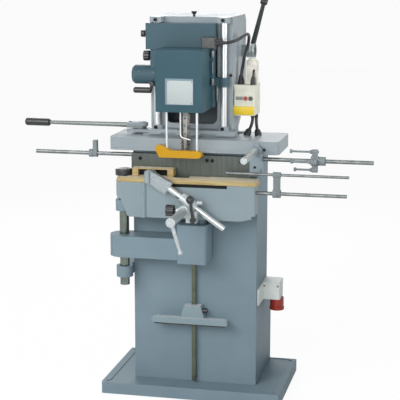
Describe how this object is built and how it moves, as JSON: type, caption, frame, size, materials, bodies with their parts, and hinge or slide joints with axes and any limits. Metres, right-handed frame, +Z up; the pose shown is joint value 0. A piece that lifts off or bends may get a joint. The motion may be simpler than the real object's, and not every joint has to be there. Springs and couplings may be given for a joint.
{
  "type": "chain mortiser",
  "caption": "Floor-standing chain mortiser: lever-fed saw-chain head on columns above a cast pedestal, with a swing-out clamping table, fence and depth stops.",
  "frame": {"origin": "floor level, middle of the rectangle of the anchor holes under the base", "axes": "+Z up, -Y towards the operator, +X to the operator's right"},
  "size_m": [1.435, 0.8725, 1.6315],
  "materials": {
    "blue_grey_paint": "satin enamel on cast iron and steel",
    "pale_grey_paint": "satin enamel on cast iron",
    "teal_paint": "satin enamel on cast iron and sheet",
    "dark_fence": "blued, ground face",
    "bright_steel": "turned and ground",
    "chrome_columns": "hard chromed and polished",
    "zinc_cast": "cast and tumbled",
    "black_plastic": "moulded phenolic",
    "black_steel": "black oxide",
    "chain_steel": "oiled hardened steel",
    "cable_rubber": "matt sheath",
    "yellow_paint": "gloss enamel",
    "beech": "oiled",
    "cream_case": "moulded",
    "ivory_case": "moulded",
    "white_case": "moulded",
    "red_plastic": "moulded",
    "motor_paint": "satin enamel on a finned case"
  },
  "bodies": {
    "stand": {"base_plate": "blue_grey_paint", "pedestal": "blue_grey_paint", "bed": "pale_grey_paint", "fence": "dark_fence", "stop_rods": "bright_steel", "end_bracket": "blue_grey_paint", "forward_bar": "bright_steel", "hinge_post": "bright_steel", "hinge_lugs": "blue_grey_paint", "rest_rail": "blue_grey_paint", "inlet_box": "white_case", "inlet_socket": "red_plastic"},
    "inlet_lid": {"inlet_lid": "red_plastic"},
    "rest_shelf": {"rest_shelf": "blue_grey_paint"},
    "carriage": {"carriage": "pale_grey_paint", "head_frame": "pale_grey_paint", "columns": "chrome_columns", "oil_cup": "black_plastic", "switch_box": "cream_case", "limit_switch": "ivory_case", "motor_cable": "cable_rubber", "switch_cables": "cable_rubber"},
    "start_button": {"start_button": "black_plastic"},
    "stop_button": {"stop_button": "red_plastic"},
    "side_lever": {"side_lever": "bright_steel", "side_grip": "black_plastic"},
    "head": {"head_casting": "teal_paint", "hood_lugs": "bright_steel", "motor": "motor_paint", "terminal_box": "black_plastic", "guide_bar": "bright_steel", "chain": "chain_steel", "chip_finger": "bright_steel"},
    "feed_lever": {"feed_lever": "black_steel", "feed_grip": "black_plastic"},
    "presser": {"presser_foot": "yellow_paint", "presser_rods": "bright_steel"},
    "hood": {"chain_hood": "teal_paint"},
    "sprocket": {"sprocket": "bright_steel"},
    "adjust_knob": {"adjust_knob": "black_plastic"},
    "clamp_knob": {"clamp_knob": "black_plastic"},
    "lock_lever": {"lock_lever": "black_plastic"},
    "knee": {"knee": "blue_grey_paint"},
    "table": {"table_frame": "blue_grey_paint", "table_top": "beech", "post_cap": "black_plastic", "stop_rail": "bright_steel"},
    "stop_fork": {"stop_fork": "zinc_cast"},
    "finger_rod": {"finger_rod": "bright_steel"},
    "clamp_quill": {"clamp_quill": "zinc_cast"},
    "clamp_lever": {"clamp_lever": "zinc_cast"},
    "cross": {"cross_block": "zinc_cast", "clamp_arm": "bright_steel"},
    "bar_lock": {"bar_lock": "black_plastic"},
    "quill_knob": {"quill_knob": "black_plastic"},
    "clamp_shoe": {"clamp_shoe": "beech"},
    "left_collar": {"left_collar": "zinc_cast"},
    "flip_stop": {"flip_stop": "zinc_cast"},
    "turret_collar": {"turret_collar": "zinc_cast"},
    "stop_turret": {"stop_turret": "zinc_cast"}
  },
  "joints": [
    {"name": "lid_hinge", "type": "hinge", "parent": "stand", "child": "inlet_lid", "pos_m": [0.305, 0.0815, 0.33], "axis": [1, 0, 0], "range_deg": [0, 110], "stiffness_Nm_per_rad": 0.06, "springref_deg": -57.3},
    {"name": "rest_height", "type": "slide", "parent": "stand", "child": "rest_shelf", "axis": [0, 0, 1], "range_m": [-0.2, 0.15]},
    {"name": "carriage_shift", "type": "slide", "parent": "stand", "child": "carriage", "axis": [1, 0, 0], "range_m": [-0.018, 0.018], "deforming": ["switch_cables"]},
    {"name": "start_press", "type": "slide", "parent": "carriage", "child": "start_button", "axis": [0, 1, 0], "range_m": [0, 0.004], "stiffness_N_per_m": 500, "springref_m": -0.002},
    {"name": "stop_press", "type": "slide", "parent": "carriage", "child": "stop_button", "axis": [0, 1, 0], "range_m": [0, 0.004], "stiffness_N_per_m": 500, "springref_m": -0.002},
    {"name": "side_lever_swing", "type": "hinge", "parent": "stand", "child": "side_lever", "pos_m": [-0.245, -0.02, 1.057], "axis": [0, 0, 1], "range_deg": [-31.5, 31.5]},
    {"name": "head_feed", "type": "slide", "parent": "carriage", "child": "head", "axis": [0, 0, 1], "range_m": [-0.085, 0], "stiffness_N_per_m": 2000, "springref_m": 0.4, "deforming": ["motor_cable"]},
    {"name": "feed_lever_swing", "type": "hinge", "parent": "carriage", "child": "feed_lever", "pos_m": [0, 0.155, 1.36], "axis": [1, 0, 0], "range_deg": [0, 86]},
    {"name": "presser_hold", "type": "slide", "parent": "head", "child": "presser", "axis": [0, 0, 1], "range_m": [0, 0.0851]},
    {"name": "hood_hinge", "type": "hinge", "parent": "head", "child": "hood", "pos_m": [0.066, -0.106, 1.27], "axis": [0, 0, 1], "range_deg": [0, 100]},
    {"name": "sprocket_spin", "type": "hinge", "parent": "head", "child": "sprocket", "pos_m": [-0.022, -0.19, 1.29], "axis": [0, 1, 0], "continuous": true},
    {"name": "adjust_turn", "type": "hinge", "parent": "head", "child": "adjust_knob", "pos_m": [-0.2005, -0.072, 1.352], "axis": [1, 0, 0], "continuous": true},
    {"name": "clamp_knob_turn", "type": "hinge", "parent": "head", "child": "clamp_knob", "pos_m": [-0.2005, -0.076, 1.438], "axis": [1, 0, 0], "continuous": true},
    {"name": "lock_turn", "type": "hinge", "parent": "head", "child": "lock_lever", "pos_m": [-0.1785, -0.096, 1.244], "axis": [0, 1, 0], "range_deg": [-40, 0]},
    {"name": "knee_swing", "type": "hinge", "parent": "stand", "child": "knee", "pos_m": [-0.272, -0.185, 0.615], "axis": [0, 0, 1], "range_deg": [-110, 0]},
    {"name": "table_height", "type": "slide", "parent": "knee", "child": "table", "axis": [0, 0, 1], "range_m": [-0.012, 0.012]},
    {"name": "fork_slide", "type": "slide", "parent": "table", "child": "stop_fork", "axis": [1, 0, 0], "range_m": [-0.02, 0.2]},
    {"name": "finger_slide", "type": "slide", "parent": "stop_fork", "child": "finger_rod", "axis": [1, 0, 0], "range_m": [-0.04, 0.1]},
    {"name": "quill_slide", "type": "slide", "parent": "table", "child": "clamp_quill", "axis": [0, 1, 0], "range_m": [-0.06, 0]},
    {"name": "clamp_lever_turn", "type": "hinge", "parent": "clamp_quill", "child": "clamp_lever", "pos_m": [0, -0.509, 0.783], "axis": [0, 1, 0], "range_deg": [-1805, 0]},
    {"name": "cross_tilt", "type": "hinge", "parent": "clamp_quill", "child": "cross", "pos_m": [0, -0.283, 0.783], "axis": [0, 1, 0], "range_deg": [0, 6]},
    {"name": "bar_lock_turn", "type": "hinge", "parent": "cross", "child": "bar_lock", "pos_m": [0.038, -0.32, 0.753], "axis": [0, 1, 0], "range_deg": [0, 100]},
    {"name": "quill_knob_turn", "type": "hinge", "parent": "cross", "child": "quill_knob", "pos_m": [-0.032, -0.3, 0.783], "axis": [1, 0, 0], "continuous": true},
    {"name": "shoe_turn", "type": "hinge", "parent": "cross", "child": "clamp_shoe", "pos_m": [-0.15, -0.186, 0.909], "axis": [0, 0, 1], "range_deg": [-3, 3]},
    {"name": "left_collar_slide", "type": "slide", "parent": "stand", "child": "left_collar", "axis": [1, 0, 0], "range_m": [-0.2, 0.05]},
    {"name": "flip_stop_turn", "type": "hinge", "parent": "left_collar", "child": "flip_stop", "pos_m": [-0.402, -0.137, 0.967], "axis": [1, 0, 0], "range_deg": [0, 150]},
    {"name": "turret_collar_slide", "type": "slide", "parent": "stand", "child": "turret_collar", "axis": [1, 0, 0], "range_m": [-0.03, 0.17]},
    {"name": "turret_turn", "type": "hinge", "parent": "turret_collar", "child": "stop_turret", "pos_m": [0.475, -0.137, 0.967], "axis": [1, 0, 0], "continuous": true}
  ],
  "couplings": [
    {"joint": "side_lever_swing", "follows": "carriage_shift", "rad_per_m": 30.303},
    {"joint": "feed_lever_swing", "follows": "head_feed", "rad_per_m": -17.544},
    {"joint": "presser_hold", "follows": "head_feed", "ratio": -1},
    {"joint": "clamp_lever_turn", "follows": "quill_slide", "rad_per_m": 523.6}
  ]
}
